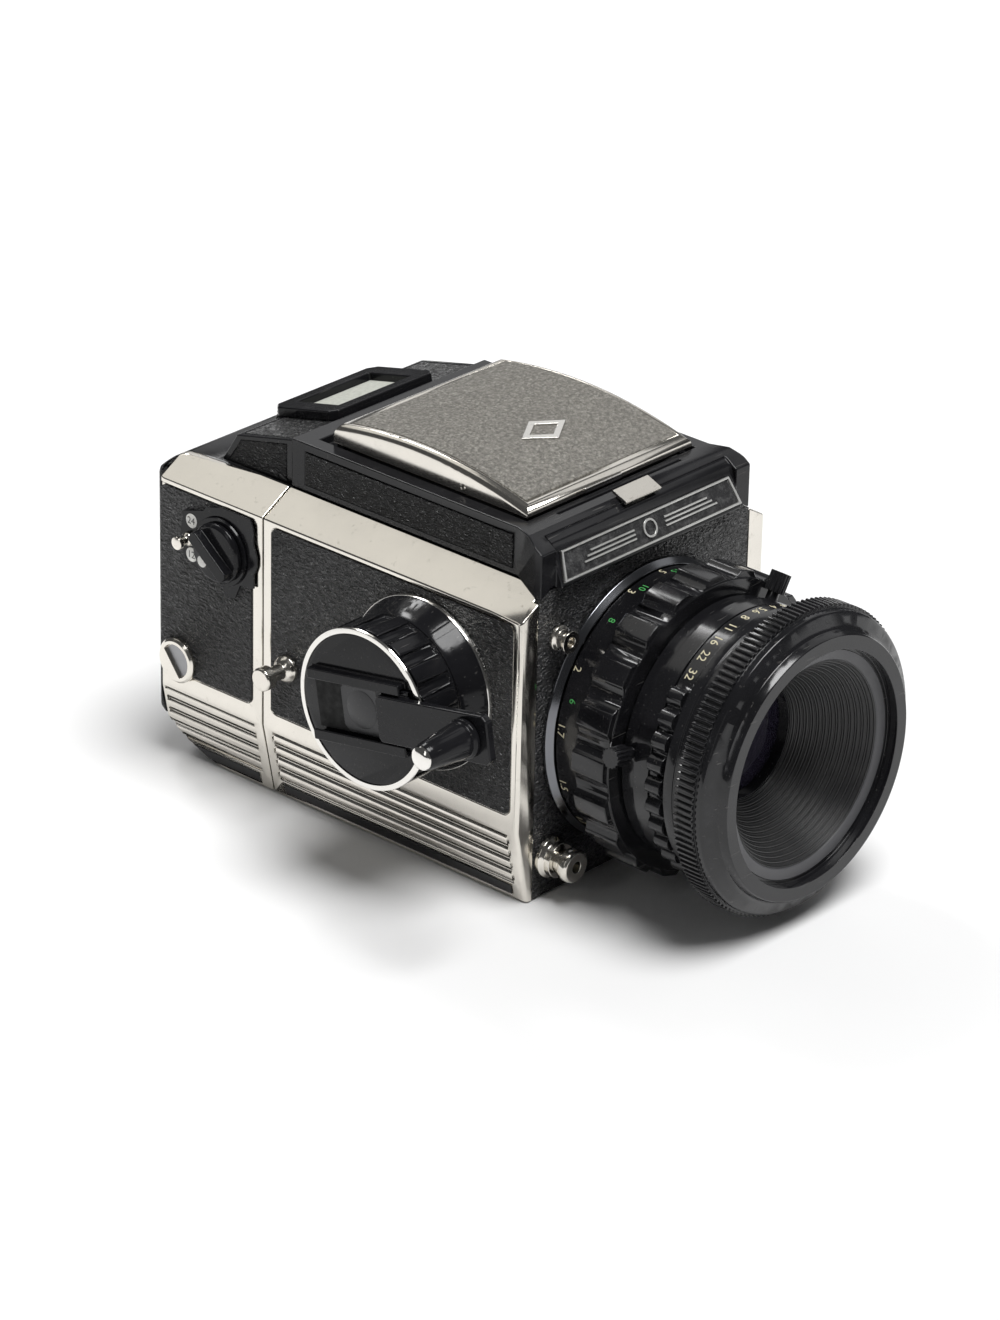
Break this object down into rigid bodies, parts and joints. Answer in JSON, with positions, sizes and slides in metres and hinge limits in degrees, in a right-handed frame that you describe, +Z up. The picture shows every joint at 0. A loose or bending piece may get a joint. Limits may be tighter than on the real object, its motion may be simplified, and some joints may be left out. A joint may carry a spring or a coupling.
{
  "type": "medium format single lens reflex camera",
  "caption": "Medium format single lens reflex camera with a folding waist-level finder, winding crank, roll-film back and wide-mouthed lens.",
  "frame": {"origin": "mouth of the tripod socket in the middle of the base", "axes": "-Y out of the lens, -X towards the winding crank, +Z up through the finder hood"},
  "size_m": [0.157, 0.2004, 0.1147],
  "materials": {
    "cast_metal": "matte black-painted casting",
    "leatherette": "pebbled black leatherette",
    "lid_leatherette": "faded grey-black leatherette",
    "chrome": "polished warm nickel-chrome",
    "plate_silver": "satin silver rim with a black stippled field",
    "black_paint": "gloss black paint",
    "black_enamel": "gloss black enamel",
    "black_anodised": "satin black anodised",
    "lens_black": "gloss black anodised",
    "matte_black": "matte black",
    "iris_steel": "blued steel",
    "brass": "machined brass",
    "steel": "brushed steel",
    "mirror_silver": "front-silvered mirror",
    "ground_glass": "ground glass",
    "clear_glass": "clear glass",
    "coated_glass": "coated optical glass",
    "spool_plastic": "black moulded plastic",
    "gunmetal": "dark satin chrome"
  },
  "bodies": {
    "root": {"body_frame": "cast_metal", "front_plate": "leatherette", "mount_ring": "gunmetal", "cover_left": "chrome", "cover_right": "chrome", "leather_left": "leatherette", "leather_right": "leatherette", "base_plate": "black_paint", "tripod_bush": "chrome", "nameplate": "plate_silver", "hood_base": "black_paint", "hood_leather": "leatherette", "focusing_screen": "ground_glass", "strap_studs": "chrome", "release_collar": "chrome", "sync_socket": "chrome", "shutter_gate": "black_anodised"},
    "release_button": {"shutter_button": "chrome"},
    "catch": {"hood_catch": "chrome"},
    "lid": {"lid_frame": "chrome", "lid_leather": "lid_leatherette"},
    "left_flap": {"flap_left": "black_anodised"},
    "right_flap": {"flap_right": "black_anodised"},
    "front_flap": {"flap_front": "black_anodised"},
    "magnifier": {"magnifier_frame": "black_anodised", "magnifier_lens": "clear_glass"},
    "knob": {"crank_knob": "black_enamel", "knob_face": "black_enamel"},
    "arm": {"crank_arm": "black_enamel"},
    "grip": {"crank_grip": "black_enamel"},
    "drum": {"drum_gear": "brass"},
    "sledge": {"mirror_sledge": "steel"},
    "mirror": {"mirror_plate": "mirror_silver"},
    "speed": {"speed_dial": "black_enamel"},
    "focus": {"focus_ring": "lens_black"},
    "barrel": {"lens_barrel": "lens_black", "front_barrel": "lens_black", "filter_ring": "lens_black", "light_baffle": "matte_black", "front_element": "coated_glass", "rear_element": "coated_glass"},
    "lock_ring": {"lens_lock_ring": "lens_black"},
    "iris_ring": {"aperture_ring": "lens_black"},
    "film_back": {"back_shell": "black_paint", "back_covers": "chrome", "back_leather": "leatherette", "memo_frame": "black_enamel", "pressure_plate": "steel"},
    "door": {"back_door": "leatherette"},
    "latch": {"back_latch": "chrome"},
    "takeup": {"takeup_spool": "spool_plastic"},
    "feed": {"feed_spool": "spool_plastic"},
    "key": {"film_key": "black_enamel"},
    "selector": {"selector_lever": "chrome"},
    "slide_sheet": {"dark_slide": "steel"},
    "blade_1": {"iris_blade_1": "iris_steel"},
    "blade_2": {"iris_blade_2": "iris_steel"},
    "blade_3": {"iris_blade_3": "iris_steel"},
    "blade_4": {"iris_blade_4": "iris_steel"},
    "blade_5": {"iris_blade_5": "iris_steel"}
  },
  "joints": [
    {"name": "press_release", "type": "slide", "parent": "root", "child": "release_button", "axis": [0, 1, 0], "range_m": [0, 0.0022], "stiffness_N_per_m": 300, "springref_m": -0.001},
    {"name": "slide_catch", "type": "slide", "parent": "root", "child": "catch", "axis": [0, 0.9272, 0.3746], "range_m": [0, 0.002], "stiffness_N_per_m": 200, "springref_m": -0.001},
    {"name": "open_lid", "type": "hinge", "parent": "root", "child": "lid", "pos_m": [0, 0.0256, 0.1076], "axis": [-1, 0, 0], "range_deg": [0, 90]},
    {"name": "raise_left_flap", "type": "hinge", "parent": "root", "child": "left_flap", "pos_m": [-0.0315, -0.008, 0.10445], "axis": [0, -1, 0], "range_deg": [0, 90]},
    {"name": "raise_right_flap", "type": "hinge", "parent": "root", "child": "right_flap", "pos_m": [0.0315, -0.008, 0.10445], "axis": [0, 1, 0], "range_deg": [0, 90]},
    {"name": "raise_front_flap", "type": "hinge", "parent": "root", "child": "front_flap", "pos_m": [0, -0.0428, 0.10525], "axis": [1, 0, 0], "range_deg": [0, 90]},
    {"name": "swing_magnifier", "type": "hinge", "parent": "lid", "child": "magnifier", "pos_m": [0, -0.033, 0.1084], "axis": [-1, 0, 0], "range_deg": [0, 90]},
    {"name": "wind_crank", "type": "hinge", "parent": "root", "child": "knob", "pos_m": [-0.06, -0.0236, 0.0569], "axis": [-1, 0, 0], "continuous": true},
    {"name": "fold_crank", "type": "slide", "parent": "knob", "child": "arm", "axis": [0, 0.9848, -0.1736], "range_m": [0, 0.024]},
    {"name": "spin_grip", "type": "hinge", "parent": "arm", "child": "grip", "pos_m": [-0.08, -0.06398, 0.06402], "axis": [-1, 0, 0], "continuous": true},
    {"name": "turn_drum", "type": "hinge", "parent": "root", "child": "drum", "pos_m": [-0.041, 0.0034, 0.0569], "axis": [-1, 0, 0], "continuous": true},
    {"name": "drop_mirror", "type": "slide", "parent": "root", "child": "sledge", "axis": [0, -0.7071, -0.7071], "range_m": [0, 0.018], "stiffness_N_per_m": 150, "springref_m": -0.02},
    {"name": "tilt_mirror", "type": "hinge", "parent": "sledge", "child": "mirror", "pos_m": [0, -0.0357, 0.0263], "axis": [-1, 0, 0], "range_deg": [0, 45]},
    {"name": "set_speed", "type": "hinge", "parent": "root", "child": "speed", "pos_m": [0.055, -0.0236, 0.0569], "axis": [1, 0, 0], "range_deg": [0, 300]},
    {"name": "turn_focus", "type": "hinge", "parent": "root", "child": "focus", "pos_m": [0, -0.076, 0.0465], "axis": [0, -1, 0], "range_deg": [0, 270]},
    {"name": "extend_lens", "type": "slide", "parent": "root", "child": "barrel", "axis": [0, -1, 0], "range_m": [0, 0.012]},
    {"name": "turn_lock_ring", "type": "hinge", "parent": "barrel", "child": "lock_ring", "pos_m": [0, -0.0854, 0.0465], "axis": [0, -1, 0], "range_deg": [0, 30]},
    {"name": "set_aperture", "type": "hinge", "parent": "barrel", "child": "iris_ring", "pos_m": [0, -0.0955, 0.0465], "axis": [0, -1, 0], "range_deg": [0, 72]},
    {"name": "remove_film_back", "type": "slide", "parent": "root", "child": "film_back", "axis": [0, 1, 0], "range_m": [0, 0.03]},
    {"name": "open_back_door", "type": "hinge", "parent": "film_back", "child": "door", "pos_m": [0, 0.0784, 0.0103], "axis": [-1, 0, 0], "range_deg": [0, 85]},
    {"name": "turn_latch", "type": "hinge", "parent": "film_back", "child": "latch", "pos_m": [-0.051, 0.0699, 0.0316], "axis": [-1, 0, 0], "range_deg": [0, 90]},
    {"name": "wind_film", "type": "hinge", "parent": "film_back", "child": "key", "pos_m": [-0.052, 0.0526, 0.0708], "axis": [-1, 0, 0], "continuous": true},
    {"name": "turn_takeup", "type": "hinge", "parent": "film_back", "child": "takeup", "pos_m": [0, 0.0586, 0.0725], "axis": [-1, 0, 0], "continuous": true},
    {"name": "turn_feed", "type": "hinge", "parent": "film_back", "child": "feed", "pos_m": [0, 0.0586, 0.0245], "axis": [-1, 0, 0], "continuous": true},
    {"name": "set_film_length", "type": "hinge", "parent": "film_back", "child": "selector", "pos_m": [-0.0513, 0.0526, 0.0708], "axis": [-1, 0, 0], "range_deg": [-25, 25]},
    {"name": "pull_dark_slide", "type": "slide", "parent": "film_back", "child": "slide_sheet", "axis": [1, 0, 0], "range_m": [0, 0.08]},
    {"name": "close_blade_1", "type": "hinge", "parent": "barrel", "child": "blade_1", "pos_m": [0.022, -0.0867, 0.0465], "axis": [0, -1, 0], "range_deg": [0, 27]},
    {"name": "close_blade_2", "type": "hinge", "parent": "barrel", "child": "blade_2", "pos_m": [0.0068, -0.0872, 0.06742], "axis": [0, -1, 0], "range_deg": [0, 27]},
    {"name": "close_blade_3", "type": "hinge", "parent": "barrel", "child": "blade_3", "pos_m": [-0.0178, -0.0877, 0.05943], "axis": [0, -1, 0], "range_deg": [0, 27]},
    {"name": "close_blade_4", "type": "hinge", "parent": "barrel", "child": "blade_4", "pos_m": [-0.0178, -0.0882, 0.03357], "axis": [0, -1, 0], "range_deg": [0, 27]},
    {"name": "close_blade_5", "type": "hinge", "parent": "barrel", "child": "blade_5", "pos_m": [0.0068, -0.0887, 0.02558], "axis": [0, -1, 0], "range_deg": [0, 27]}
  ],
  "couplings": [
    {"joint": "raise_left_flap", "follows": "open_lid", "ratio": 1},
    {"joint": "raise_right_flap", "follows": "open_lid", "ratio": 1},
    {"joint": "raise_front_flap", "follows": "open_lid", "ratio": 1},
    {"joint": "swing_magnifier", "follows": "open_lid", "ratio": 1},
    {"joint": "turn_drum", "follows": "wind_crank", "ratio": -1},
    {"joint": "tilt_mirror", "follows": "drop_mirror", "rad_per_m": 43.536},
    {"joint": "extend_lens", "follows": "turn_focus", "m_per_rad": 0.0025359},
    {"joint": "turn_takeup", "follows": "wind_film", "ratio": 1},
    {"joint": "close_blade_1", "follows": "set_aperture", "ratio": 0.36806},
    {"joint": "close_blade_2", "follows": "set_aperture", "ratio": 0.36806},
    {"joint": "close_blade_3", "follows": "set_aperture", "ratio": 0.36806},
    {"joint": "close_blade_4", "follows": "set_aperture", "ratio": 0.36806},
    {"joint": "close_blade_5", "follows": "set_aperture", "ratio": 0.36806}
  ]
}
